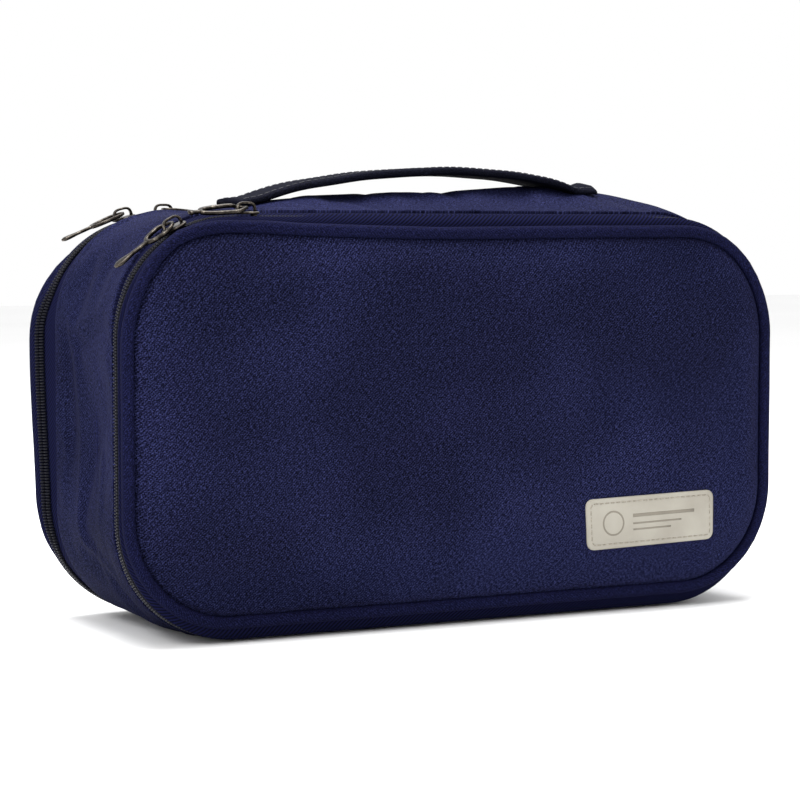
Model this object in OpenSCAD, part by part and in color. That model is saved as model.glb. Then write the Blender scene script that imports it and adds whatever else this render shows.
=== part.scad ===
// Zip-around travel organizer bag: a padded gusset band with a centre divider,
// a front and a rear lid that open like a book on the right-hand short side,
// a strap handle on top and two sliders on each coil zip.
// Millimetres, +Z up, the front lid faces -Y. The origin is the centre of the
// flat underside of the gusset, on which the bag stands.

/* [Outline] */
// Overall width across the piping
body_w = 280; // [240:1:320]
// Height of the zip line, from its lowest to its highest point
zip_h = 155; // [140:1:170]
// Corner radius of the zip line
zip_r = 45; // [40:1:55]
// How far the piping lies inside the zip line at the top and at the bottom
piping_drop = 5; // [4:0.5:7]

/* [Depths] */
// Distance from the centre plane to each zip line
zip_y = 37.5; // [34:0.5:42]
// Distance from the centre plane to the edge of the gusset band
gusset_y = 30; // [27:0.5:31]
// Distance from each zip line to the middle of the piping
piping_gap = 7.7; // [7:0.1:9]
// Height of each panel's crown over its sewn edge
panel_crown = 5; // [3:0.5:8]

/* [Fabric] */
// Thickness of the outer fabric
fabric_t = 1.2; // [0.8:0.1:1.6]
// Thickness of the foam padding
foam_t = 2.4; // [1.5:0.1:3.5]
// Thickness of the lining
lining_t = 0.8; // [0.5:0.1:1]
// Thickness of the stiffener board in the divider
board_t = 1.6; // [1:0.1:2.4]
// Diameter of the piping
piping_d = 4.4; // [3.5:0.1:4.6]
// Rise of the gusset's crowned top over its corners
top_crown = 6; // [3:0.5:9]

/* [Zip] */
// Width of one row of teeth
teeth_w = 2; // [1.6:0.1:2.2]
// Height of the teeth
teeth_h = 1.8; // [1.4:0.1:2]
// Gap between the two rows, where the sliders' posts run
teeth_gap = 1.2; // [1.2:0.1:1.6]
// Thickness of the zip tape
tape_t = 1; // [0.6:0.1:1]

/* [Sliders and pulls] */
// Length of a slider
slider_l = 9; // [8:0.5:10]
// Width of a slider
slider_w = 8.2; // [7:0.1:8.2]
// Distance of the upper sliders from the middle of the bag, front
front_park_x = 88; // [80:1:90]
// Distance of the upper sliders from the middle of the bag, rear
rear_park_x = 90; // [84:1:92]
// Turn of the lower slider round the corner from the vertical, front
front_park_turn = 28; // [26:1:34]
// Turn of the lower slider round the corner from the vertical, rear
rear_park_turn = 15; // [13:1:20]
// Length of the upper sliders' pulls
short_pull_l = 23; // [18:1:23]
// Length of the lower sliders' pulls
long_pull_l = 27; // [20:1:27]

/* [Handle] */
// Width of the handle strap
strap_w = 24; // [20:1:26]
// Thickness of the handle strap
strap_t = 3.4; // [3:0.1:4]
// Half the distance between the sewn ends
handle_reach = 76; // [70:1:84]
// Height of the handle's crown over the middle of the bag's top
handle_rise = 11; // [10:0.5:16]

/* [Label] */
// Width of the label patch
label_w = 59; // [50:1:64]
// Height of the label patch
label_h = 20; // [16:1:22]
// Thickness of the label patch
label_t = 1.4; // [1:0.1:1.6]
// Turn of the label patch
label_turn = 1.4; // [0:0.1:3]

/* [Hidden] */
$fn = 96;

far = 400;
half_w = body_w / 2;
zip_z0 = 0.6;
zip_z1 = zip_z0 + zip_h;
mid_z = (zip_z0 + zip_z1) / 2;
edge_gap = 0.3;
zip_w = half_w - edge_gap;
corner_x = zip_w - zip_r;
corner_z = zip_z1 - zip_r;
hinge_half = mid_z - zip_z0 - zip_r;

gusset_w = half_w - 2.5;
gusset_r = zip_r - 1;
gusset_z1 = zip_z1 + 2;
gusset_cx = gusset_w - gusset_r;
cap_r = (gusset_cx * gusset_cx + top_crown * (2 * gusset_r + top_crown)) / (2 * top_crown);
cap_z = gusset_z1 + top_crown - cap_r;
wall_t = fabric_t + foam_t + lining_t;

piping_y = zip_y + piping_gap;
rim_inset = 4.7;
panel_y0 = piping_y - piping_d / 2;
panel_y1 = panel_y0 + 3;
panel_y2 = panel_y1 + panel_crown;
panel_inset = 11;
layer_1 = fabric_t;
layer_2 = fabric_t + foam_t;
layer_3 = fabric_t + foam_t + lining_t;
mesh_y = panel_y0 + 0.1;
mesh_t = 0.5;
gap_y = zip_y - teeth_gap / 2;

plate_t = 1;
plate_gap = 0.3;
under_gap = 0.5;
bail_w = 1.4;
bail_bar = 1;
bail_half = 4;
bail_room = 2.7;
bail_bend = 1.6;
pivot_h = plate_gap + plate_t + bail_room / 2 + 0.15;
pull_t = 1.1;
loop_w = 8;
loop_l = 15;
loop_rim = 1.7;
bar_w = 2.2;
knob_r = 1.8;
pull_bar = 0.6;
upper_droop = 5;
lower_droop = 8;

axis_h = cap_z + sqrt(pow(cap_r, 2) - pow(handle_reach, 2));
grip_half = 50;
sewn_t = 2.6;
sewn_gap = 0.05;
rise_l = handle_reach + 1 - grip_half;
strap_top = gusset_z1 + top_crown + handle_rise;
strap_drop = strap_top - axis_h - fabric_t - strap_t;
strap_r = (pow(handle_reach, 2) + pow(strap_drop, 2)) / (2 * strap_drop);
strap_z = strap_top - strap_r;

label_x = 79;
label_z = 36.5;

fabric_c = [0.125, 0.13, 0.26];
trim_c = [0.10, 0.105, 0.21];
lining_c = [0.16, 0.17, 0.27];
foam_c = [0.75, 0.75, 0.72];
teeth_c = [0.06, 0.06, 0.07];
metal_c = [0.33, 0.31, 0.28];
label_c = [0.74, 0.72, 0.66];

// A rectangle in X and Z with round corners, from z0 to z1.
module round_outline(w, z0, z1, r) {
    union() {
        translate([-w, z0 + r]) square([2 * w, z1 - z0 - 2 * r]);
        translate([r - w, z0]) square([2 * (w - r), z1 - z0]);
        for (x = [r - w, w - r], z = [z0 + r, z1 - r]) translate([x, z]) circle(r);
    }
}

// Outlines drawn in X and Z become solids from y0 to y1.
module slab(y0, y1) {
    translate([0, y1, 0]) rotate([90, 0, 0]) linear_extrude(y1 - y0) children();
}

// Copies a front solid to the rear by mirroring it in the centre plane.
module on_side(rear) {
    if (rear) mirror([0, 1, 0]) children();
    else children();
}

// Points along an arc in X and Z, from one angle to another.
function arc_points(x, z, r, from, to, steps) =
    [for (i = [0:steps]) let (a = from + (to - from) * i / steps) [x + r * cos(a), z + r * sin(a)]];

// The gusset band's outline: a crowned top on an arc that meets both top corners smoothly.
module gusset_outline(inset) {
    r = gusset_r - inset;
    top = gusset_z1 - gusset_r;
    turn = asin(gusset_cx / (cap_r - gusset_r));
    polygon(concat(
        arc_points(gusset_cx, gusset_r, r, -90, 0, 16),
        arc_points(gusset_cx, top, r, 0, 90 - turn, 16),
        arc_points(0, cap_z, cap_r - inset, 90 - 0.9 * turn, 90 + 0.9 * turn, 18),
        arc_points(-gusset_cx, top, r, 90 + turn, 180, 16),
        arc_points(-gusset_cx, gusset_r, r, 180, 270, 16)
    ));
}

module gusset_layer(inset, t, half_y) {
    slab(-half_y, half_y) difference() {
        gusset_outline(inset);
        gusset_outline(inset + t);
    }
}

module zip_outline(inset) {
    round_outline(zip_w - inset, zip_z0 + inset, zip_z1 - inset, zip_r - inset);
}

// The outline inside the piping, to which the lid's layers are cut.
module rim_outline(inset) {
    round_outline(
        half_w - rim_inset - inset,
        zip_z0 + piping_drop + rim_inset + inset,
        zip_z1 - piping_drop - rim_inset - inset,
        zip_r - rim_inset - inset
    );
}

module zip_band(inset, t) {
    difference() {
        zip_outline(inset);
        zip_outline(inset + t);
    }
}

// A crowned padded plate, as thin slabs hulled together, less what lies within inset.
module crowned(inset) {
    edge_y = max(panel_y1 - inset, panel_y0 + 0.2);
    hull() {
        slab(-edge_y, -panel_y0 - 0.01) rim_outline(inset, $fn = 64);
        slab(-panel_y2 + inset, -panel_y2 + inset + 0.1)
            rim_outline(panel_inset + inset / 2, $fn = 64);
    }
}

module crowned_layer(outer, inner) {
    difference() {
        crowned(outer);
        crowned(inner);
        slab(-panel_y0 - 0.05, -panel_y0 + 1) rim_outline(inner, $fn = 64);
    }
}

module lid_tape() {
    slab(-panel_y0 + 0.02, -panel_y0 + 0.8) difference() {
        zip_outline(0.4);
        rim_outline(1.6);
    }
    slab(-panel_y0 + 0.8, -gap_y - teeth_gap - teeth_w) zip_band(0.4, tape_t);
}

module teeth_row(y0, y1) {
    difference() {
        slab(y0, y1) zip_band(0, teeth_h);
        translate([corner_x + 1, -far / 2, mid_z - hinge_half])
            cube([far, far, 2 * hinge_half]);
    }
}

module lid_teeth() {
    teeth_row(-gap_y - teeth_gap - teeth_w, -gap_y - teeth_gap);
}

module core_teeth() {
    teeth_row(-gap_y, -gap_y + teeth_w);
}

// A round cord that follows the piping line.
module piping_ring() {
    r = piping_d / 2;
    w = zip_w - r;
    z0 = zip_z0 + piping_drop + r;
    z1 = zip_z1 - piping_drop - r;
    bend = zip_r - 3 - r;
    translate([0, -piping_y, 0]) {
        for (z = [z0, z1]) translate([bend - w, 0, z]) rotate([0, 90, 0])
            cylinder(r = r, h = 2 * (w - bend));
        for (x = [-w, w]) translate([x, 0, z0 + bend]) cylinder(r = r, h = z1 - z0 - 2 * bend);
        for (c = [[w - bend, z1 - bend, 0], [bend - w, z1 - bend, 90],
                  [bend - w, z0 + bend, 180], [w - bend, z0 + bend, 270]])
            translate([c[0], 0, c[1]]) rotate([90, 0, 0]) rotate([0, 0, c[2]])
                rotate_extrude(angle = 90) translate([bend, 0]) circle(r);
    }
}

module mesh_outline() {
    intersection() {
        rim_outline(layer_3 + 1.8);
        translate([-far, 0]) square([2 * far, mid_z + 10]);
    }
}

// ---- core ----
module gusset() {
    color(fabric_c) gusset_layer(0, fabric_t, gusset_y);
}

module gusset_foam() {
    color(foam_c) gusset_layer(layer_1, foam_t, gusset_y - 1);
}

module gusset_lining() {
    color(lining_c) gusset_layer(layer_2, lining_t, gusset_y);
}

module divider_board() {
    color(foam_c) slab(-board_t / 2, board_t / 2) gusset_outline(layer_3 + 0.5);
}

module divider_face() {
    slab(-board_t / 2 - lining_t, -board_t / 2) gusset_outline(layer_3 + 0.05);
}

module slip_pocket() {
    y0 = board_t / 2 + lining_t;
    slab(-y0 - lining_t, -y0) intersection() {
        gusset_outline(layer_3 + 3);
        translate([-far, 0]) square([2 * far, mid_z + 16]);
    }
}

module core_tape() {
    slab(-gap_y + teeth_w, -gusset_y) zip_band(0.4, tape_t);
    slab(-gusset_y - 0.8, -gusset_y) difference() {
        union() {
            zip_outline(0.4);
            gusset_outline(0.2);
        }
        intersection() {
            zip_outline(0.4 + tape_t);
            gusset_outline(layer_2);
        }
    }
}

module hinge_strip() {
    slab(-panel_y0 + 1.4, -gusset_y + 2.4)
        translate([half_w - 2.5 - wall_t - 0.9, mid_z - hinge_half])
        square([0.8, 2 * hinge_half]);
}

module seam_binding() {
    slab(-gusset_y, -gusset_y + 10) difference() {
        gusset_outline(layer_3);
        gusset_outline(layer_3 + 0.8);
        translate([gusset_cx, mid_z - hinge_half - 1]) square([far, 2 * hinge_half + 2]);
    }
}

// A strap end: the pad sewn to the gusset and the part that rises to the grip.
module handle_end(side) {
    slab(-strap_w / 2, strap_w / 2) union() {
        intersection() {
            difference() {
                translate([0, cap_z]) circle(cap_r + sewn_t, $fn = 360);
                translate([0, cap_z]) circle(cap_r + sewn_gap, $fn = 360);
            }
            translate([side * handle_reach - 9, mid_z]) square([18, far]);
        }
        intersection() {
            strap_arc(0);
            translate([side * (grip_half + 0.3 + rise_l / 2) - rise_l / 2, mid_z])
                square([rise_l, far]);
        }
    }
}

// ---- handle ----
module strap_arc(inset) {
    difference() {
        translate([0, strap_z]) circle(strap_r - inset, $fn = 360);
        translate([0, strap_z]) circle(strap_r - strap_t + inset, $fn = 360);
    }
}

module grip(inset) {
    slab(-strap_w / 2 + inset, strap_w / 2 - inset) intersection() {
        strap_arc(inset);
        translate([-grip_half + inset, mid_z]) square([2 * (grip_half - inset), far]);
    }
}

module handle_cover() {
    color(trim_c) difference() {
        grip(0);
        grip(fabric_t / 2);
    }
}

module handle_filler() {
    color(foam_c) grip(fabric_t / 2);
}

// ---- zip sliders, drawn with the teeth's outer face at z = 0 and the travel along X ----
module slider() {
    top = plate_gap + plate_t;
    under = -teeth_h - under_gap;
    translate([0, 0, plate_gap + plate_t / 2]) cube([slider_l, slider_w, plate_t], center = true);
    translate([0, 0, under - plate_t / 2]) cube([slider_l, slider_w, plate_t], center = true);
    translate([slider_l / 2 - 3, -0.3, under - 0.1]) cube([2.4, 0.6, plate_gap - under + 0.2]);
    translate([0, bail_w / 2, 0]) rotate([90, 0, 0]) linear_extrude(bail_w) difference() {
        union() {
            translate([-bail_half, top - 0.1])
                square([2 * bail_half, bail_room + bail_bar + 0.1 - bail_bend]);
            translate([bail_bend - bail_half, top])
                square([2 * (bail_half - bail_bend), bail_room + bail_bar]);
            for (x = [bail_bend - bail_half, bail_half - bail_bend])
                translate([x, top + bail_room + bail_bar - bail_bend]) circle(bail_bend);
        }
        translate([bail_bar - bail_half, top]) square([2 * (bail_half - bail_bar), bail_room]);
    }
}

// A pull that points along -X from its crossbar: a long loop, a bar and a knob, flat in X and Y.
module pull(length) {
    bend_x = loop_w / 2 - loop_l;
    linear_extrude(pull_t, center = true) difference() {
        union() {
            translate([bend_x, -loop_w / 2]) square([-bend_x, loop_w]);
            translate([bend_x, 0]) circle(loop_w / 2);
            translate([knob_r - length, -bar_w / 2]) square([length - knob_r + bend_x, bar_w]);
            translate([knob_r - length, 0]) circle(knob_r);
        }
        translate([bend_x, loop_rim - loop_w / 2]) square([1 - bend_x, loop_w - 2 * loop_rim]);
        translate([bend_x, 0]) circle(loop_w / 2 - loop_rim);
    }
    rotate([90, 0, 0]) cylinder(r = pull_bar, h = loop_w, center = true);
}

module at_upper(rear) {
    x = rear ? rear_park_x : front_park_x;
    y = rear ? zip_y : -zip_y;
    translate([-x, y, zip_z1]) children();
}

module at_lower(rear) {
    turn = rear ? rear_park_turn : front_park_turn;
    y = rear ? zip_y : -zip_y;
    translate([-corner_x, y, corner_z]) rotate([0, -turn, 0])
        translate([0, 0, zip_r]) children();
}

module mesh_pocket() {
    slab(-mesh_y - mesh_t, -mesh_y) mesh_outline();
}

module pocket_binding() {
    z = mid_z + 10;
    slab(-mesh_y, -mesh_y + 1) intersection() {
        rim_outline(layer_3 + 1.8);
        translate([-far, z - 9]) square([2 * far, 9]);
    }
}

module label_patch() {
    y = panel_y2 + 0.02;
    translate([label_x, 0, label_z]) rotate([0, -label_turn, 0])
        slab(-y - label_t, -y) translate([0, -label_h / 2])
        round_outline(label_w / 2, 0, label_h, 3);
}

// A pull in its slider's eye, dropped by an angle below the slider's own plane.
module hung_pull(length, droop) {
    translate([0, 0, pivot_h]) rotate([0, -droop, 0]) pull(length);
}

// The core: gusset, divider and the core's half of each zip.
gusset();
gusset_foam();
gusset_lining();
divider_board();
color(lining_c) divider_face();  // divider_front_face
color(lining_c) on_side(true) divider_face();  // divider_rear_face
color(lining_c) slip_pocket();  // front_slip_pocket
color(lining_c) on_side(true) slip_pocket();  // rear_slip_pocket
color(trim_c) core_tape();  // front_core_tape
color(teeth_c) core_teeth();  // front_core_teeth
color(trim_c) hinge_strip();  // front_hinge_strip
color(trim_c) seam_binding();  // front_seam_binding
color(trim_c) on_side(true) core_tape();  // rear_core_tape
color(teeth_c) on_side(true) core_teeth();  // rear_core_teeth
color(trim_c) on_side(true) hinge_strip();  // rear_hinge_strip
color(trim_c) on_side(true) seam_binding();  // rear_seam_binding
color(trim_c) handle_end(-1);  // handle_end_left
color(trim_c) handle_end(1);  // handle_end_right

// The two lids.
color(fabric_c) crowned_layer(0, layer_1);  // front_panel
color(foam_c) crowned_layer(layer_1, layer_2);  // front_foam
color(lining_c) crowned_layer(layer_2, layer_3);  // front_lining
color(trim_c) piping_ring();  // front_piping
color(trim_c) lid_tape();  // front_lid_tape
color(teeth_c) lid_teeth();  // front_lid_teeth
color(lining_c) mesh_pocket();  // front_mesh_pocket
color(trim_c) pocket_binding();  // front_pocket_binding
color(fabric_c) on_side(true) crowned_layer(0, layer_1);  // rear_panel
color(foam_c) on_side(true) crowned_layer(layer_1, layer_2);  // rear_foam
color(lining_c) on_side(true) crowned_layer(layer_2, layer_3);  // rear_lining
color(trim_c) on_side(true) piping_ring();  // rear_piping
color(trim_c) on_side(true) lid_tape();  // rear_lid_tape
color(teeth_c) on_side(true) lid_teeth();  // rear_lid_teeth
color(lining_c) on_side(true) mesh_pocket();  // rear_mesh_pocket
color(trim_c) on_side(true) pocket_binding();  // rear_pocket_binding
color(label_c) label_patch();

// The handle.
handle_cover();
handle_filler();

// The sliders and their pulls.
color(metal_c) at_upper(false) slider();  // front_upper_slider
color(metal_c) at_lower(false) slider();  // front_lower_slider
color(metal_c) at_upper(true) slider();  // rear_upper_slider
color(metal_c) at_lower(true) slider();  // rear_lower_slider
color(metal_c) at_upper(false) hung_pull(short_pull_l, upper_droop);  // front_upper_pull
color(metal_c) at_lower(false) hung_pull(long_pull_l, lower_droop);  // front_lower_pull
color(metal_c) at_upper(true) mirror([1, 0, 0]) hung_pull(short_pull_l, upper_droop);  // rear_upper_pull
color(metal_c) at_lower(true) hung_pull(long_pull_l, lower_droop);  // rear_lower_pull
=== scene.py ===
"""Looks of a zip-around travel organizer bag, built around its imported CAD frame. Metres, +Z up."""
import math

import bmesh
import bpy
import numpy as np
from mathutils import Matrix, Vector, noise
from mathutils.bvhtree import BVHTree


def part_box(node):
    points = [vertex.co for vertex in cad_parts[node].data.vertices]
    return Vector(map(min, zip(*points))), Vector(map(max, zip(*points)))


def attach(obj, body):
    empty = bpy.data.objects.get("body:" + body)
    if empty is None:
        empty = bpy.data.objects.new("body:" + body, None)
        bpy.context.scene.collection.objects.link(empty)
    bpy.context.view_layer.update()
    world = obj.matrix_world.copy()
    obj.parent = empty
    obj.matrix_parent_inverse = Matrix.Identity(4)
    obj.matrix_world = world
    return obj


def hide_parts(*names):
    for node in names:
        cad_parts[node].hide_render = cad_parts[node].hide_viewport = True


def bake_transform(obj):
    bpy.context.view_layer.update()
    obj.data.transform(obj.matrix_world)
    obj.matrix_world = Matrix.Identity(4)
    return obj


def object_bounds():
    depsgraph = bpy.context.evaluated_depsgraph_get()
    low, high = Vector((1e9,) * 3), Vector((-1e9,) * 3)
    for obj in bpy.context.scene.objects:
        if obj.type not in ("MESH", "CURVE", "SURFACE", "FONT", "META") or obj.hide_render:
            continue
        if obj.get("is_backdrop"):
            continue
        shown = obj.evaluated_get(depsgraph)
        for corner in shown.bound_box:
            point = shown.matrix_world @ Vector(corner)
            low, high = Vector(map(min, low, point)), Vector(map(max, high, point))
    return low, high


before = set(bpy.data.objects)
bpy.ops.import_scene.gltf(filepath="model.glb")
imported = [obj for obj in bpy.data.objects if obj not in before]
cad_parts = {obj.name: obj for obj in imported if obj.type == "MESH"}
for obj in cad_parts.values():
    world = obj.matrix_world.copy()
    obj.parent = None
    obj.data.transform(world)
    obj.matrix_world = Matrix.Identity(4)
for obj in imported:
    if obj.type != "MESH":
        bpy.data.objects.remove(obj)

CAD_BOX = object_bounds()
MM = 0.001

# ---------------------------------------------------------------- sizes from the frame
lid_teeth_lo, lid_teeth_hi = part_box("front_lid_teeth")
core_teeth_lo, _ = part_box("front_core_teeth")
piping_lo, piping_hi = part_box("front_piping")
gusset_lo, gusset_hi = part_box("gusset")
panel_lo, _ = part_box("front_panel")
label_lo, label_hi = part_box("label_patch")
grip_lo, grip_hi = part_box("handle_cover")
_, strap_end_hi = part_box("handle_end_right")
mesh_lo, mesh_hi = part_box("front_mesh_pocket")
_, slip_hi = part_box("front_slip_pocket")

ZIP_Y = -(lid_teeth_hi.y + core_teeth_lo.y) / 2
ZIP_W = lid_teeth_hi.x
ZIP_Z0 = lid_teeth_lo.z
ZIP_Z1 = lid_teeth_hi.z
ZIP_R = 45 * MM
PIPE_R = (piping_hi.y - piping_lo.y) / 2
PIPE_Y = -(piping_hi.y + piping_lo.y) / 2
PIPE_W = piping_hi.x - PIPE_R
PIPE_Z0 = piping_lo.z + PIPE_R
PIPE_Z1 = piping_hi.z - PIPE_R
PIPE_BEND = ZIP_R - 3 * MM - PIPE_R
GUSSET_Y = gusset_hi.y
GUSSET_TOP = gusset_hi.z
MID_Z = (ZIP_Z0 + ZIP_Z1) / 2
SIDE_Y = np.array((0.0, 1.0, 0.0))
SIDES = ((-1, "front"), (1, "rear"))

# Points round a ring: corners, long straights and short straights. The hinge straight comes last.
CORNER_STEPS = 22
LONG_STEPS = 84
SHORT_STEPS = 30
RING = 4 * CORNER_STEPS + 2 * LONG_STEPS + 2 * SHORT_STEPS
OPEN_RING = RING - SHORT_STEPS + 1


# ---------------------------------------------------------------- outlines and meshes
def outline(w, z0, z1, r):
    """Points and outward normals in X and Z round a rounded rectangle, from the top of the hinge straight."""
    points, normals = [], []
    centres = [(w - r, z1 - r), (r - w, z1 - r), (r - w, z0 + r), (w - r, z0 + r)]
    straights = [LONG_STEPS, SHORT_STEPS, LONG_STEPS, SHORT_STEPS]
    for k, (cx, cz) in enumerate(centres):
        for i in range(CORNER_STEPS):
            a = math.pi / 2 * (k + i / CORNER_STEPS)
            points.append((cx + r * math.cos(a), cz + r * math.sin(a)))
            normals.append((math.cos(a), math.sin(a)))
        a = math.pi / 2 * (k + 1)
        nx, nz = math.cos(a), math.sin(a)
        start = np.array((cx + r * nx, cz + r * nz))
        follow = centres[(k + 1) % 4]
        end = np.array((follow[0] + r * nx, follow[1] + r * nz))
        for i in range(straights[k]):
            points.append(tuple(start + (end - start) * i / straights[k]))
            normals.append((nx, nz))
    return np.array(points), np.array(normals)


def smooth(a, b, x):
    """0 before a, 1 after b, and smooth in between."""
    t = np.clip((x - a) / (b - a), 0, 1)
    return t * t * (3 - 2 * t)


def at_depth(points, y):
    """2-D outline points placed at a depth."""
    return np.column_stack([points[:, 0], np.full(len(points), y), points[:, 1]])


def run_length(points):
    """Length along a row of points, from 0."""
    steps = np.linalg.norm(np.diff(points, axis=0), axis=1)
    return np.concatenate([[0], np.cumsum(steps)])


def mesh_object(name, verts, faces, uvs=None):
    """A mesh object from points and faces, with one UV pair for each point if given."""
    mesh = bpy.data.meshes.new(name)
    mesh.from_pydata([tuple(v) for v in verts], [], [tuple(f) for f in faces])
    mesh.validate()
    if uvs is not None:
        layer = mesh.uv_layers.new(name="UVMap")
        loops = np.empty(len(mesh.loops), int)
        mesh.loops.foreach_get("vertex_index", loops)
        layer.data.foreach_set("uv", np.asarray(uvs, np.float32)[loops].ravel())
    mesh.polygons.foreach_set("use_smooth", [True] * len(mesh.polygons))
    mesh.update()
    obj = bpy.data.objects.new(name, mesh)
    bpy.context.scene.collection.objects.link(obj)
    return obj


def loft(name, rows, ring=False, cross=False, caps=False, uv_u=None):
    """A skin over rows of points. ring joins each row's ends, cross joins the last row to the first."""
    rows = [np.asarray(r, float) for r in rows]
    m = len(rows[0])
    along = run_length(rows[0]) if uv_u is None else np.asarray(uv_u)
    if ring:
        rows = [np.vstack([r, r[:1]]) for r in rows]
        if uv_u is None:
            along = run_length(rows[0])
        else:
            along = np.append(along, along[-1] + (along[-1] - along[-2]))
    count = len(rows[0])
    verts = np.vstack(rows)
    depth = [0.0]
    for a, b in zip(rows[:-1], rows[1:]):
        depth.append(depth[-1] + float(np.mean(np.linalg.norm(b - a, axis=1))))
    uvs = np.array([(u, v) for v in depth for u in along])
    faces = []
    spans = len(rows) if cross else len(rows) - 1
    for j in range(spans):
        k = (j + 1) % len(rows)
        for i in range(count - 1):
            faces.append((j * count + i, j * count + i + 1, k * count + i + 1, k * count + i))
    if caps:
        faces.append([j * count for j in range(len(rows))][::-1])
        faces.append([j * count + count - 1 for j in range(len(rows))])
    obj = mesh_object(name, verts, faces, uvs)
    if ring:
        weld(obj, 1e-6)
    return obj


def points_of(obj):
    """A mesh object's points as an array."""
    return np.array([v.co for v in obj.data.vertices])


def set_points(obj, points):
    """Moves a mesh object's points to the places in an array."""
    obj.data.vertices.foreach_set("co", np.asarray(points, float).ravel())
    obj.data.update()
    return obj


def weld(obj, distance):
    """Joins points that lie together, and turns all faces outward."""
    bm = bmesh.new()
    bm.from_mesh(obj.data)
    bmesh.ops.remove_doubles(bm, verts=bm.verts, dist=distance)
    bmesh.ops.recalc_face_normals(bm, faces=bm.faces)
    bm.to_mesh(obj.data)
    bm.free()
    return obj


def joined(name, objects):
    """Several mesh objects as one, which keeps their UVs."""
    bpy.ops.object.select_all(action="DESELECT")
    for o in objects:
        o.select_set(True)
    bpy.context.view_layer.objects.active = objects[0]
    bpy.ops.object.join()
    objects[0].name = name
    objects[0].data.name = name
    return objects[0]


def apply_modifiers(obj):
    """Replaces the mesh by what its modifiers make of it."""
    graph = bpy.context.evaluated_depsgraph_get()
    made = bpy.data.meshes.new_from_object(obj.evaluated_get(graph))
    obj.modifiers.clear()
    obj.data = made
    return obj


def thicken(obj, thickness, offset=-1.0):
    """Gives a sheet a thickness, inward at an offset of -1."""
    m = obj.modifiers.new("thick", "SOLIDIFY")
    m.thickness = thickness
    m.offset = offset
    return apply_modifiers(obj)


def subdivide(obj):
    """One round of Catmull-Clark subdivision."""
    m = obj.modifiers.new("subdivision", "SUBSURF")
    m.levels = 1
    m.render_levels = 1
    return apply_modifiers(obj)


def tube(name, path, normals, side, radius, sides=10, ring=False, flatten=1.0):
    """A cord along a path, whose cross-section lies in the normals' and the side vector's plane."""
    path = np.asarray(path, float)
    radius = np.broadcast_to(radius, (len(path),))
    rows = []
    for k in range(sides):
        a = 2 * math.pi * k / sides
        rows.append(path + (math.cos(a) * normals * flatten + math.sin(a) * side) * radius[:, None])
    obj = loft(name, rows, ring=ring, cross=True, caps=not ring)
    return weld(obj, 1e-7)


def signed_power(x, power):
    """A power of a number's size that keeps its sign, which squares off a circle's sine and cosine."""
    return math.copysign(abs(x) ** power, x)


def value_noise(points, scale, seed):
    """Smooth noise from -1 to 1 at each point."""
    shift = Vector((seed * 7.13, seed * 3.71, seed * 1.37))
    return np.array([noise.noise(Vector(p) * scale + shift) for p in points])


# ---------------------------------------------------------------- materials
def rgb(r, g, b):
    """An sRGB colour of 0 to 255 as linear light."""
    out = []
    for c in (r, g, b):
        c = c / 255
        out.append(c / 12.92 if c <= 0.04045 else ((c + 0.055) / 1.055) ** 2.4)
    return (*out, 1.0)


def grey(level):
    """A grey of linear light, which is also how a ramp gives a plain number."""
    return (level, level, level, 1.0)


# A wave texture of this scale repeats every 0.88 mm, the rib of the twill.
TWILL_SCALE = 2 * math.pi / 20 / (0.88 * MM)


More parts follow.
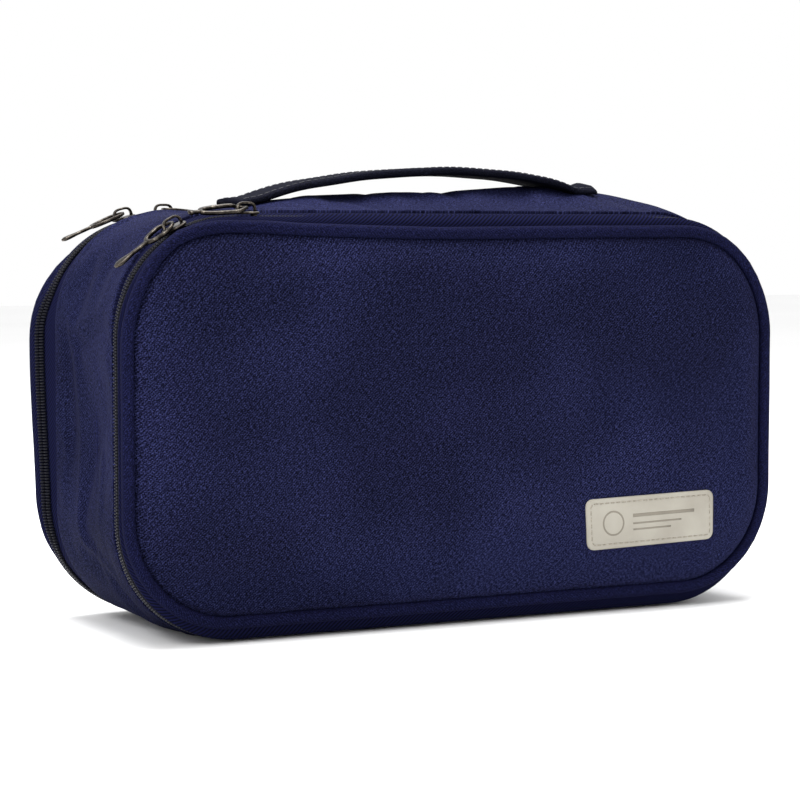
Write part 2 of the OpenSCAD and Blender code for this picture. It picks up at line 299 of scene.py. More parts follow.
class Nodes:
    """Short calls for a material's node tree."""

    def __init__(self, name):
        self.material = bpy.data.materials.new(name)
        self.material.use_nodes = True
        self.tree = self.material.node_tree
        self.shader = self.tree.nodes["Principled BSDF"]
        coordinates = self.add("ShaderNodeTexCoord")
        self.uv = coordinates.outputs["UV"]
        self.place = coordinates.outputs["Object"]

    def add(self, kind, inputs=None, **settings):
        node = self.tree.nodes.new(kind)
        for key, value in settings.items():
            setattr(node, key, value)
        for key, value in (inputs or {}).items():
            self.feed(node.inputs[key], value)
        return node

    def feed(self, socket, value):
        if isinstance(value, bpy.types.NodeSocket):
            self.tree.links.new(value, socket)
        else:
            socket.default_value = value

    def scaled(self, source, scale, turn=0.0):
        inputs = {"Vector": source, "Scale": scale, "Rotation": (0, 0, turn)}
        return self.add("ShaderNodeMapping", inputs).outputs[0]

    def noise(self, vector, scale, detail=2.0, rough=0.5):
        inputs = {"Vector": vector, "Scale": scale, "Detail": detail, "Roughness": rough}
        return self.add("ShaderNodeTexNoise", inputs).outputs["Fac"]

    def cells(self, scale):
        inputs = {"Vector": self.place, "Scale": scale}
        return self.add("ShaderNodeTexVoronoi", inputs).outputs["Distance"]

    def bands(self, turn, scale, distortion, detail_scale=1.0):
        inputs = {
            "Vector": self.scaled(self.uv, (1, 1, 1), math.radians(turn)), "Scale": scale,
            "Distortion": distortion, "Detail": 1.0, "Detail Scale": detail_scale,
        }
        wave = self.add("ShaderNodeTexWave", inputs, wave_type="BANDS", bands_direction="X")
        return wave.outputs["Fac"]

    def math(self, operation, a, b):
        return self.add("ShaderNodeMath", {0: a, 1: b}, operation=operation).outputs[0]

    def ramp(self, factor, *stops):
        node = self.add("ShaderNodeValToRGB", {"Fac": factor})
        elements = node.color_ramp.elements
        while len(elements) < len(stops):
            elements.new(0.5)
        for element, (place, colour) in zip(elements, stops):
            element.position = place
            element.color = colour
        return node.outputs["Color"]

    def mix(self, factor, a, b, mode="MIX"):
        node = self.add("ShaderNodeMix", data_type="RGBA", blend_type=mode)
        self.feed(node.inputs["Factor"], factor)
        self.feed(node.inputs["A"], a)
        self.feed(node.inputs["B"], b)
        return node.outputs["Result"]

    def bump(self, height, strength, distance, normal=None):
        inputs = {"Height": height, "Strength": strength, "Distance": distance}
        if normal is not None:
            inputs["Normal"] = normal
        return self.add("ShaderNodeBump", inputs).outputs[0]

    def shade(self, colour, rough, normal=None, specular=None, **more):
        """Feeds the shader, and gives the material. Underscores in the names of more stand for spaces."""
        inputs = {"Base_Color": colour, "Roughness": rough, "Normal": normal, "Specular_IOR_Level": specular}
        for key, value in {**inputs, **more}.items():
            if value is not None:
                self.feed(self.shader.inputs[key.replace("_", " ")], value)
        return self.material


def woven(name, dark, base, light, yarn=0.27 * MM, sheen=0.02, relief=0.10 * MM, painted_shade_strength=0.5):
    """A twill of uneven yarns: short streaks along both yarn directions, crossed by a diagonal rib, under
    broad patches of painted shade.
    """
    n = Nodes(name)
    along = 0.22
    warp = n.noise(n.scaled(n.uv, (1 / yarn, along / yarn, 1)), 1.0, 1.0)
    weft = n.noise(n.scaled(n.uv, (along / yarn, 1 / yarn, 1)), 1.0, 1.0)
    rib = n.bands(45, TWILL_SCALE, 2.2, 2.5)
    yarns = n.mix(0.10, n.mix(rib, warp, weft), rib)
    fleck = n.ramp(yarns, (0.36, dark), (0.50, base), (0.66, light))
    # Painted shade: broad soft darker patches at random stand in for the shading of the cloth's soft dents;
    # the strength sets how dark they get, down to 64% at full strength.
    painted_shade_darkest = 1 - 0.36 * painted_shade_strength
    shade = n.ramp(n.noise(n.place, 12.0), (0.40, grey(painted_shade_darkest)), (0.60, grey(1)))
    fine = n.noise(n.scaled(n.uv, (2.2 / MM, 3.4 / MM, 1)), 1.0, 1.0)
    specks = n.ramp(fine, (0.63, grey(0)), (0.76, grey(1)))
    fleck = n.mix(n.math("MULTIPLY", specks, 0.55), fleck, light)
    slub = n.noise(n.place, 160.0, 3.0)
    return n.shade(
        n.mix(1.0, fleck, shade, "MULTIPLY"), 0.8, n.bump(slub, 0.2, 0.25 * MM, n.bump(yarns, 0.6, relief)),
        specular=0.02, Sheen_Weight=sheen, Sheen_Roughness=0.45, Sheen_Tint=light,
    )


def tape_cloth(name, dark, base):
    """The ribbed herringbone of a zip tape."""
    n = Nodes(name)
    mixed = n.mix(0.35, n.bands(58, 330.0, 0.3), n.noise(n.uv, 1400.0))
    return n.shade(
        n.ramp(mixed, (0.25, dark), (0.75, base)), 0.8, n.bump(mixed, 0.7, 0.12 * MM),
        specular=0.03, Sheen_Weight=0.03, Sheen_Roughness=0.5, Sheen_Tint=base,
    )


def nylon(name):
    """Black nylon of the coil teeth, with a dull moulded gloss."""
    n = Nodes(name)
    grain = n.noise(n.place, 900.0)
    colour = n.ramp(grain, (0.3, rgb(6, 6, 11)), (0.7, rgb(17, 18, 29)))
    rough = n.ramp(grain, (0.3, grey(0.4)), (0.7, grey(0.6)))
    return n.shade(colour, rough, n.bump(grain, 0.2, 0.05 * MM), specular=0.10)


def gunmetal(name):
    """Dark plated zinc that is worn bright in places."""
    n = Nodes(name)
    wear = n.noise(n.place, 420.0, 4.0, 0.65)
    cloud = n.noise(n.place, 120.0)
    tone = n.ramp(wear, (0.38, rgb(38, 35, 32)), (0.56, rgb(68, 63, 58)), (0.74, rgb(138, 131, 121)))
    shade = n.ramp(cloud, (0.3, (0.7, 0.68, 0.66, 1)), (0.7, grey(1)))
    rough = n.ramp(cloud, (0.3, grey(0.24)), (0.7, grey(0.42)))
    return n.shade(n.mix(1.0, tone, shade, "MULTIPLY"), rough, n.bump(wear, 0.15, 0.05 * MM), Metallic=1.0)


def soft_leather(name, dark, light):
    """Synthetic leather with a fine pebbled grain."""
    n = Nodes(name)
    tone = n.ramp(n.noise(n.place, 60.0, 3.0), (0.3, dark), (0.7, light))
    return n.shade(tone, 0.55, n.bump(n.cells(1500.0), 0.25, 0.08 * MM), specular=0.4)


def thread(name, dark, light):
    """Twisted sewing thread."""
    n = Nodes(name)
    twist = n.noise(n.place, 2600.0, 1.0)
    colour = n.ramp(twist, (0.35, dark), (0.65, light))
    return n.shade(colour, 0.6, n.bump(twist, 0.4, 0.05 * MM), Sheen_Weight=0.2)


def stiff_board(name, dark, light):
    """The plain fibre board that keeps the divider flat."""
    n = Nodes(name)
    fibres = n.cells(250.0)
    return n.shade(n.ramp(fibres, (0.1, dark), (0.6, light)), 0.9, n.bump(fibres, 0.4, 0.2 * MM))


# The outer fabric gets the full strength of painted shade, which stands in for the shading of its soft dents.
NAVY = woven("outer_fabric", rgb(7, 8, 18), rgb(16, 17, 40), rgb(52, 56, 98), painted_shade_strength=1.0)
TRIM = woven("trim_fabric", rgb(6, 7, 18), rgb(13, 14, 36), rgb(34, 37, 76))
LINING = woven("lining", rgb(16, 18, 38), rgb(26, 28, 58), rgb(40, 44, 84), relief=0.04 * MM)
HANDLE_CLOTH = woven("handle_cloth", rgb(6, 6, 12), rgb(12, 13, 21), rgb(28, 29, 44), sheen=0.05)
TAPE = tape_cloth("zip_tape", rgb(6, 7, 19), rgb(20, 22, 54))
MESH = tape_cloth("mesh", rgb(14, 15, 30), rgb(30, 32, 58))
TEETH = nylon("zip_teeth")
METAL = gunmetal("pull_metal")
LEATHER = soft_leather("label", rgb(146, 141, 130), rgb(161, 157, 146))
MARK = soft_leather("label_mark", rgb(112, 106, 95), rgb(126, 120, 108))
NAVY_THREAD = thread("navy_thread", rgb(10, 11, 20), rgb(24, 25, 42))
BEIGE_THREAD = thread("beige_thread", rgb(108, 101, 88), rgb(150, 143, 128))
BOARD = stiff_board("board", rgb(60, 60, 64), rgb(92, 92, 96))


def finish_piece(obj, material, slot, body, *nodes):
    """Material, slot (not used), body and the CAD nodes that the piece stands for."""
    obj.data.materials.clear()
    obj.data.materials.append(material)
    if body:
        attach(obj, body)
    if nodes:
        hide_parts(*nodes)
    return obj


# ---------------------------------------------------------------- pieces made of many small capsules
def ring_faces(rings, sides):
    """Faces between rings of points, each with the same number of sides, and a face at each end."""
    faces = []
    for j in range(rings - 1):
        for k in range(sides):
            n = (k + 1) % sides
            faces.append((j * sides + k, j * sides + n, (j + 1) * sides + n, (j + 1) * sides + k))
    faces.append(tuple(range(sides))[::-1])
    faces.append(tuple((rings - 1) * sides + k for k in range(sides)))
    return faces


def capsules(name, centres, along, across, normal, length, width, height, sides=8):
    """Many small rounded bars as one mesh, each laid out along, across and normal to its own axes."""
    rings = [(-1.0, 0.4), (-0.7, 1.0), (0.7, 1.0), (1.0, 0.4)]
    local = []
    for place, size in rings:
        for k in range(sides):
            a = 2 * math.pi * k / sides
            c, s = math.cos(a), math.sin(a)
            local.append((place * length / 2, size * c * width / 2, size * s * height / 2))
    local = np.array(local)
    faces = ring_faces(len(rings), sides)
    centres = np.asarray(centres, float)
    axes = [np.broadcast_to(np.asarray(a, float), centres.shape) for a in (along, across, normal)]
    verts = centres[:, None, :] + sum(
        local[None, :, k, None] * axes[k][:, None, :] for k in range(3)
    )
    all_faces = []
    for i in range(len(centres)):
        all_faces.extend(tuple(i * len(local) + v for v in face) for face in faces)
    return weld(mesh_object(name, verts.reshape(-1, 3), all_faces), 1e-8)


def spaced(path, pitch, start=0.0):
    """Places at an even pitch along a path, with the direction of travel at each."""
    path = np.asarray(path, float)
    length = run_length(path)
    at = np.arange(start, length[-1], pitch)
    places = np.column_stack([np.interp(at, length, path[:, k]) for k in range(3)])
    ahead = np.column_stack([np.interp(at + 0.2 * MM, length, path[:, k]) for k in range(3)])
    behind = np.column_stack([np.interp(at - 0.2 * MM, length, path[:, k]) for k in range(3)])
    travel = ahead - behind
    return places, travel / np.linalg.norm(travel, axis=1)[:, None]


def stitches(name, path, normal, length, pitch, radius):
    """A row of stitches that lie along a path."""
    places, travel = spaced(path, pitch, pitch / 2)
    normal = np.broadcast_to(np.asarray(normal, float), places.shape)
    across = np.cross(normal, travel)
    return capsules(name, places, travel, across, normal, length, 2 * radius, radius, 6)


# ---------------------------------------------------------------- cloth simulation
def relax(obj, pinned, pressure, cap, growth=0.01, frames=16):
    """Lets a fabric settle by cloth simulation. Pinned points stay, and none moves further than the cap."""
    group = obj.vertex_groups.new(name="pin")
    group.add([int(i) for i in np.nonzero(pinned)[0]], 1.0, "REPLACE")
    cloth = obj.modifiers.new("cloth", "CLOTH")
    s = cloth.settings
    s.quality = 5
    s.mass = 0.15
    s.tension_stiffness = 12
    s.compression_stiffness = 12
    s.shear_stiffness = 4
    s.bending_stiffness = 0.35
    s.vertex_group_mass = "pin"
    s.use_pressure = True
    s.uniform_pressure_force = pressure
    s.shrink_min = -growth
    s.effector_weights.gravity = 0
    cloth.point_cache.frame_start = 1
    cloth.point_cache.frame_end = frames
    rest = points_of(obj)
    scene = bpy.context.scene
    for frame_number in range(1, frames + 1):
        scene.frame_set(frame_number)
    graph = bpy.context.evaluated_depsgraph_get()
    result = np.empty(len(rest) * 3)
    obj.evaluated_get(graph).data.vertices.foreach_get("co", result)
    move = result.reshape(-1, 3) - rest
    distance = np.linalg.norm(move, axis=1)
    move *= (np.minimum(distance, cap) / np.maximum(distance, 1e-9))[:, None]
    obj.modifiers.clear()
    obj.vertex_groups.clear()
    scene.frame_set(1)
    return set_points(obj, rest + move)


# ---------------------------------------------------------------- how the soft lids sit out of true
# The front's upper edge: places along X and how far the edge stands up there, in mm.
LID_LIFT = [
    (-139, 1.0), (-128, 3.6), (-118, 4.4), (-106, 3.2), (-84, 2.9), (-71, 2.1), (-41, 1.2), (-13, 0.6),
    (18, 0.8), (50, 1.2), (83, 1.3), (107, 1.4), (119, 1.8), (128, 1.4), (139, 0.0),
]


def settled(points, side):
    """Points of a lid as it sits: the front's upper edge is uneven, and the rear bulges at the left."""
    points = np.array(points, float)
    if side < 0:
        lift = np.interp(points[:, 0], [x * MM for x, _ in LID_LIFT], [v * MM for _, v in LID_LIFT])
        points[:, 2] += lift * smooth(100 * MM, 140 * MM, points[:, 2])
    else:
        bulge = np.exp(-((points[:, 2] - 106 * MM) / (50 * MM)) ** 2)
        points[:, 0] -= 2.6 * MM * bulge * smooth(80 * MM, 136 * MM, -points[:, 0])
    return points


def settle(obj, side):
    """Moves a lid's piece to where the soft lid sits."""
    return set_points(obj, settled(points_of(obj), side))


# ---------------------------------------------------------------- the gusset
gusset_ring, ring_normals = outline(gusset_hi.x, gusset_lo.z, ZIP_Z1 + 2 * MM, ZIP_R - 1 * MM)
zip_ring, _ = outline(ZIP_W, ZIP_Z0, ZIP_Z1, ZIP_R)
pipe_ring, _ = outline(PIPE_W, PIPE_Z0, PIPE_Z1, PIPE_BEND)
normals_3d = at_depth(ring_normals, 0.0)
# How full the gusset's top is, in mm, at places from its left end, -1, to its right end, 1.
TOP_FULLNESS = [
    (-1.0, 0.0), (-0.74, -1.6), (-0.66, -1.2), (-0.50, 1.4), (-0.35, 3.8), (0.09, 6.0), (0.36, 8.4),
    (0.52, 7.4), (0.66, 5.0), (0.80, 2.0), (1.0, 0.5),
]


def gusset_offset(points, normals, t):
    """How far the gusset stands out from its seam outline: full on top and drawn in at the short sides."""
    x = points[:, 0] / gusset_hi.x
    z = points[:, 1]
    up = smooth(0.15, 0.9, normals[:, 1])
    left = smooth(0.3, 0.95, -normals[:, 0])
    right = smooth(0.3, 0.95, normals[:, 0])
    full = np.interp(x, [p for p, _ in TOP_FULLNESS], [v * MM for _, v in TOP_FULLNESS])
    waist = np.exp(-((z - MID_Z) / (40 * MM)) ** 2)
    edge = 1 - abs(t) ** 2.4
    return edge * (up * full - left * waist * 6.0 * MM - right * waist * 2.5 * MM)


def folds(y, length):
    """Long soft folds that run along the band."""
    run = length / (55 * MM)
    across = y / (13 * MM)
    place = np.column_stack([run, np.full(len(run), across), np.zeros(len(run))])
    return value_noise(place, 1.0, 3.0)


# Creases of the left side: from and to in Y and Z, how far they stand out, and their width.
LEFT_CREASES = [
    ((22.0, 112.0), (21.0, 58.0), -2.6, 4.5),
    ((27.0, 76.0), (20.0, 62.0), 1.6, 2.5),
    ((14.0, 104.0), (6.0, 34.0), 0.9, 2.2),
    ((15.0, 113.0), (-24.0, 125.0), 0.9, 1.6),
    ((12.0, 106.0), (-22.0, 117.0), -1.0, 4.0),
    ((-8.0, 96.0), (-16.0, 30.0), 0.5, 3.0),
    ((10.0, 36.0), (-20.0, 20.0), 0.8, 2.4),
]


def creases(points, y):
    """Height of the left side's creases at a row of outline points."""
    total = np.zeros(len(points))
    here = np.column_stack([np.full(len(points), y), points[:, 1]])
    for start, end, height, width in LEFT_CREASES:
        a, b = np.array(start) * MM, np.array(end) * MM
        t = ((here - a) @ (b - a)) / np.dot(b - a, b - a)
        near = a + np.clip(t, 0, 1)[:, None] * (b - a)
        away = np.linalg.norm(here - near, axis=1)
        fade = smooth(-0.15, 0.25, t) * smooth(1.15, 0.75, t)
        total += height * MM * fade * np.exp(-((away / (width * MM)) ** 2))
    return total


GUSSET_ROWS = 41
FLOOR_GAP = 0.25 * MM


def keep_above(obj, height):
    """Raises any point that is under a height."""
    for v in obj.data.vertices:
        v.co.z = max(v.co.z, height)


length = run_length(at_depth(np.vstack([gusset_ring, gusset_ring[:1]]), 0))[:-1]
left_side = smooth(0.2, 0.9, -ring_normals[:, 0])
rows = []
for j in range(GUSSET_ROWS):
    t = -1 + 2 * j / (GUSSET_ROWS - 1)
    y = t * GUSSET_Y
    free = 1 - abs(t) ** 6
    out = gusset_offset(gusset_ring, ring_normals, t)
    amount = (0.4 + 0.4 * left_side) * MM
    out = out + free * (amount * folds(y, length) + left_side * creases(gusset_ring, y))
    row = at_depth(gusset_ring, y) + normals_3d * out[:, None]
    row[:, 2] = np.maximum(row[:, 2], FLOOR_GAP)
    rows.append(row)
gusset = loft("gusset_band", rows, ring=True, uv_u=length)
on_seam = abs(points_of(gusset)[:, 1]) > GUSSET_Y - 0.3 * MM
relax(gusset, on_seam, pressure=1.2, cap=2.2 * MM, growth=0.012)
keep_above(gusset, FLOOR_GAP)
subdivide(gusset)
gusset_tree = BVHTree.FromObject(gusset, bpy.context.evaluated_depsgraph_get())
thicken(gusset, 3.0 * MM)
keep_above(gusset, 0.2 * MM)
finish_piece(gusset, NAVY, "outer_fabric", "core", "gusset", "gusset_foam")

INSIDE = 3.8 * MM
LINING_ROWS = 13
rows = []
for j in range(LINING_ROWS):
    t = -1 + 2 * j / (LINING_ROWS - 1)
    y = t * (GUSSET_Y - 0.4 * MM)
    out = gusset_offset(gusset_ring, ring_normals, t) - INSIDE
    row = at_depth(gusset_ring, y) + normals_3d * (out + 0.2 * MM * folds(y, length))[:, None]
    row[:, 2] = np.maximum(row[:, 2], INSIDE)
    rows.append(row)
gusset_lining = loft("gusset_lining_cloth", rows, ring=True, uv_u=length)
thicken(gusset_lining, 0.5 * MM)
finish_piece(gusset_lining, LINING, "lining", "core", "gusset_lining")


# ---------------------------------------------------------------- zip tapes, coils, bindings and piping
def ring_row(points, inset, y):
    """A ring's points moved inward by an inset, at a depth."""
    return at_depth(points - ring_normals * inset, y)


def seam_rows(side, steps):
    """Open rows on the gusset's seam, from insets and distances in front of the gusset's edge, in mm."""
    return [
        ring_row(gusset_ring, inset * MM, side * (GUSSET_Y + ahead * MM))[:OPEN_RING] for inset, ahead in steps
    ]


# How far each zip is rolled at each point of its ring, most at the left side.
ZIP_ROLL = smooth(0.86, 1.0, -ring_normals[:, 0])


def rolled(side, y_off, height):
    """A ring row on a zip, at an offset from its middle line towards the lid and a height over the teeth."""
    angle = ZIP_ROLL * math.radians(24 if side > 0 else 8)
    c, s = np.cos(angle), np.sin(angle)
    out = height * c + y_off * s - 1.2 * MM * s
    across = y_off * c - height * s
    row = at_depth(zip_ring + ring_normals * out[:, None], 0.0)
    row[:, 1] = side * (ZIP_Y + across)
    if side > 0:
        below = smooth(134 * MM, 112 * MM, row[:, 2])[:, None]
        row = settled(row, side) * below + row * (1 - below)
    return row[:OPEN_RING]


def core_tape(side):
    """The zip tape from the gusset's seam to under the core's row of teeth, as a folded strip."""
    under = [(-4.9, -1.9), (-3.1, -1.5), (-0.2, -1.7)]
    seam = seam_rows(side, [(2.6, -3.0), (1.2, -0.4), (1.3, 0.6)])
    return seam + [rolled(side, across * MM, height * MM) for across, height in under]


def lid_tape(side):
    """The zip tape from behind the piping to under the lid's teeth, with a low hump on top."""
    back = PIPE_Y - 2.0 * MM
    x = zip_ring[:, 0]
    hump = smooth(0.5, 0.95, ring_normals[:, 1])
    hump *= smooth(-72 * MM, -55 * MM, x) * smooth(92 * MM, 70 * MM, x)
    near_zip = ring_row(zip_ring, 0.9 * MM, 0)
    if side > 0:
        near_zip = settled(near_zip, side)
    between = 0.62 * near_zip + 0.38 * settled(at_depth(pipe_ring, 0), side)
    between[:, 1] = side * (back - 0.9 * MM)
    near_pipe = settled(ring_row(pipe_ring, -0.9 * MM, side * back), side)
    tucked = settled(ring_row(pipe_ring, 1.0 * MM, side * (back + 0.3 * MM)), side)
    under = [(0.2, -1.7), (2.5, -1.6), (3.2, -0.7)]
    rows = [rolled(side, across * MM, height * MM) for across, height in under]
    rows.append(rolled_high(side, 4.5 * MM, -0.6 * MM + 0.7 * MM * hump))
    return rows + [row[:OPEN_RING] for row in (between, near_pipe, tucked)]


def rolled_high(side, y_off, height):
    """Like rolled, with a height that varies along the ring."""
    low = rolled(side, y_off, 0.0)
    return low + normals_3d[:OPEN_RING] * height[:OPEN_RING, None]


TOOTH_PITCH = 1.15 * MM
TOOTH_LONG = 2.35 * MM
TOOTH_WIDE = 0.92 * MM
TOOTH_HIGH = 1.6 * MM
TOOTH_SHIFT = 1.25 * MM
TOOTH_LEVEL = -0.85 * MM
TAPE_T = 0.5 * MM
for side, lid in SIDES:
    for body, part, rows in (("core", "_core", core_tape(side)), (lid + "_lid", "_lid", lid_tape(side))):
        tape = thicken(loft(lid + part + "_tape_cloth", rows), TAPE_T, 0.0)
        finish_piece(tape, TAPE, "zip_tape", body, lid + part + "_tape")
    for body, part, start, shift in (
        ("core", "_core_teeth", 0.0, -TOOTH_SHIFT),
        (lid + "_lid", "_lid_teeth", TOOTH_PITCH / 2, TOOTH_SHIFT),
    ):
        places, travel = spaced(rolled(side, shift, TOOTH_LEVEL), TOOTH_PITCH, start)
        inner, _ = spaced(rolled(side, shift - 1 * MM, TOOTH_LEVEL), TOOTH_PITCH, start)
        count = min(len(places), len(inner))
        places, travel = places[:count], travel[:count]
        lie = places - inner[:count]
        lie -= travel * np.sum(lie * travel, axis=1)[:, None]
        lie /= np.linalg.norm(lie, axis=1)[:, None]
        outward = np.cross(travel, lie)
        name = lid + part
        coil = capsules(name + "_coil", places, lie, travel, outward, TOOTH_LONG, TOOTH_WIDE, TOOTH_HIGH, 6)
        finish_piece(coil, TEETH, "zip_teeth", body, name)


def piping(side, lid):
    """The fabric-wrapped cord round a lid, slightly puckered where it turns the corners."""
    path = at_depth(pipe_ring, side * PIPE_Y)
    steps = run_length(np.vstack([path, path[:1]]))[:-1]
    turning = np.abs(ring_normals[:, 0] * ring_normals[:, 1]) * 2
    swell = value_noise(np.column_stack([steps / (12 * MM), steps * 0, steps * 0]), 1.0, side * 2.0)
    pucker = 0.035 * swell + 0.03 * turning * np.sin(steps / (1.1 * MM))
    radius = (PIPE_R + 0.2 * MM) * (1 + pucker)
    cord = settle(tube(lid + "_piping_cord", path, normals_3d, SIDE_Y, radius, 14, ring=True), side)
    finish_piece(cord, TRIM, "trim_fabric", lid + "_lid", lid + "_piping")


for side, lid in SIDES:
    piping(side, lid)


def hinge_cloth(side, lid):
    """The fold of fabric that joins a lid to the gusset along the straight of the right side."""
    start = OPEN_RING - 3
    keep = [k % RING for k in range(start, RING + 3)]
    heights = gusset_ring[keep, 1]
    profile = [
        (gusset_hi.x - 3.0 * MM, GUSSET_Y - 4 * MM),
        (gusset_hi.x - 1.2 * MM, GUSSET_Y - 0.4 * MM),
        (gusset_hi.x - 0.2 * MM, GUSSET_Y + 1.6 * MM),
        (ZIP_W - 0.6 * MM, GUSSET_Y + 4.6 * MM),
        (ZIP_W + 0.1 * MM, ZIP_Y),
        (ZIP_W - 0.5 * MM, ZIP_Y + 2.9 * MM),
        (PIPE_W + 0.9 * MM, PIPE_Y - 2.2 * MM),
        (PIPE_W - 0.6 * MM, PIPE_Y - 1.7 * MM),
    ]
    rows = []
    for x, y in profile:
        line = np.column_stack([np.full(len(keep), x), np.full(len(keep), side * y), heights])
        line[:, 0] += 0.25 * MM * value_noise(line, 90.0, 5.0)
        rows.append(line)
    cloth = subdivide(loft(lid + "_hinge_strip_fold", rows))
    thicken(cloth, 0.6 * MM, 0.0)
    finish_piece(cloth, TAPE, "trim_fabric", None, lid + "_hinge_strip")
    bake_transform(cloth)


for side, lid in SIDES:
    hinge_cloth(side, lid)


# ---------------------------------------------------------------- the padded lids
def round_grid(w, z0, z1, r, columns, corner, straight):
    """Points of a rounded rectangle in level rows that end on its outline, and the number of rows."""
    zs = [z0 + r - r * math.cos(math.pi / 2 * k / corner) for k in range(corner)]
    zs += [z0 + r + (z1 - z0 - 2 * r) * k / straight for k in range(straight + 1)]
    zs += [z1 - r + r * math.sin(math.pi / 2 * k / corner) for k in range(1, corner + 1)]
    grid = []
    for z in zs:
        beyond = max(z0 + r - z, z - (z1 - r), 0.0)
        reach = w - r + math.sqrt(max(r * r - beyond * beyond, 0.0))
        for k in range(columns + 1):
            grid.append((reach * (2 * k / columns - 1), z))
    return np.array(grid), len(zs)


def grid_faces(columns, count, flip=False, offset=0):
    """Quads of a grid with a number of columns and rows of points."""
    faces = []
    for j in range(count - 1):
        for i in range(columns):
            a = offset + j * (columns + 1) + i
            quad = (a, a + 1, a + columns + 2, a + columns + 1)
            faces.append(quad[::-1] if flip else quad)
    return faces


def grid_border(columns, count):
    """Indices round the edge of a grid."""
    across = columns + 1
    bottom = list(range(across))
    right = [j * across + columns for j in range(1, count)]
    top = [(count - 1) * across + i for i in range(columns - 1, -1, -1)]
    left = [j * across for j in range(count - 2, 0, -1)]
    return bottom + right + top + left


def edge_distance(points, w, z0, z1, r):
    """Distance of each point from the edge of a rounded rectangle, inward."""
    mid = (z0 + z1) / 2
    qx = np.abs(points[:, 0]) - (w - r)
    qz = np.abs(points[:, 1] - mid) - ((z1 - z0) / 2 - r)
    outside = np.hypot(np.maximum(qx, 0), np.maximum(qz, 0))
    return r - (np.minimum(np.maximum(qx, qz), 0) + outside)


def two_sided(columns, count):
    """Faces of a closed patch: a grid, the same grid again behind it, and the edge between them."""
    back = (columns + 1) * count
    faces = grid_faces(columns, count) + grid_faces(columns, count, True, back)
    edge = grid_border(columns, count)
    for a, b in zip(edge, edge[1:] + edge[:1]):
        faces.append((b, a, a + back, b + back))
    return faces


EDGE_IN = 0.6 * MM
PAD_W = PIPE_W - PIPE_R + EDGE_IN
PAD_Z0 = PIPE_Z0 + PIPE_R - EDGE_IN
PAD_Z1 = PIPE_Z1 - PIPE_R + EDGE_IN
PAD_R = PIPE_BEND - PIPE_R + EDGE_IN
PAD_COLUMNS = 132
PAD_EDGE_Y = PIPE_Y + 0.3 * MM
PAD_TOP_Y = -panel_lo.y - 1.0 * MM
SEAM_DITCH = 2.4 * MM
pad_points, pad_rows = round_grid(PAD_W, PAD_Z0, PAD_Z1, PAD_R, PAD_COLUMNS, 14, 34)
pad_depth = edge_distance(pad_points, PAD_W, PAD_Z0, PAD_Z1, PAD_R)
pad_3d = at_depth(pad_points, 0.0)


def lid_shape(seed):
    """Outer points of a padded lid: a quick rise from the piping, then a broad soft crown."""
    rise = np.clip(pad_depth / (15 * MM), 0, 1)
    shoulder = np.sqrt(np.clip(1 - (1 - rise) ** 2, 0, 1))
    broad = value_noise(pad_3d, 16.0, seed)
    small = value_noise(pad_3d, 42.0, seed + 3)
    body = smooth(0, 30 * MM, pad_depth)
    y = PAD_EDGE_Y + (PAD_TOP_Y - PAD_EDGE_Y) * (0.85 * shoulder + 0.15 * body)
    y = y + body * (1.9 * MM * broad + 0.6 * MM * small)
    puckers = value_noise(pad_3d * (1, 0, 1) / (11 * MM), 1.0, seed)
    near = np.exp(-((pad_depth - 5 * MM) / (5 * MM)) ** 2)
    ditch = np.exp(-((pad_depth / SEAM_DITCH) ** 2))
    return y + 0.3 * MM * near * puckers - 1.5 * MM * ditch


def lid_pad(name, side, seed):
    """A closed pad with a fabric face and a flat back, inflated by cloth simulation."""
    y = lid_shape(seed)
    front = np.column_stack([pad_points[:, 0], -y, pad_points[:, 1]])
    pad = mesh_object(name, front, grid_faces(PAD_COLUMNS, pad_rows), pad_points)
    filled = points_of(relax(pad, pad_depth < 0.2 * MM, pressure=3.0, cap=1.6 * MM))
    front = front + (filled - front) * smooth(0, 9 * MM, pad_depth)[:, None]
    front[:, 1] = np.maximum(front[:, 1], panel_lo.y - 1.2 * MM)
    back = front.copy()
    thick = 3.4 * MM * smooth(0, 6 * MM, pad_depth) + 0.2 * MM
    back[:, 1] = np.minimum(front[:, 1] + thick, -(PIPE_Y - 1.2 * MM))
    faces = two_sided(PAD_COLUMNS, pad_rows)
    verts = np.vstack([front, back])
    uvs = np.vstack([pad_points, pad_points])
    bpy.data.objects.remove(pad)
    if side > 0:
        verts[:, 1] = -verts[:, 1]
        faces = [f[::-1] for f in faces]
    pad = settle(mesh_object(name, verts, faces, uvs), side)
    subdivide(pad)
    return pad, back


pads = {}
for side, lid, seed in ((-1, "front", 1.0), (1, "rear", 6.0)):
    pad, back = lid_pad(lid + "_panel_pad", side, seed)
    finish_piece(pad, NAVY, "outer_fabric", lid + "_lid", lid + "_panel", lid + "_foam")
    pads[lid] = pad
    lining = back.copy()
    lining[:, 1] = np.minimum(lining[:, 1] + 0.5 * MM, -(PIPE_Y - 1.7 * MM))
    lining[:, 1] *= -side
    sheet = mesh_object(lid + "_lining_cloth", lining, grid_faces(PAD_COLUMNS, pad_rows), pad_points)
    thicken(settle(sheet, side), 0.3 * MM, 0.0)
    finish_piece(sheet, LINING, "lining", lid + "_lid", lid + "_lining")


# ---------------------------------------------------------------- the label patch
def on_panel(points, tree):
    """Depth of the front panel's skin at points in X and Z."""
    found = []
    for x, z in points:
        hit, _, _, _ = tree.ray_cast(Vector((x, -0.08, z)), Vector((0, 1, 0)))
        found.append(hit.y if hit else panel_lo.y)
    return np.array(found)


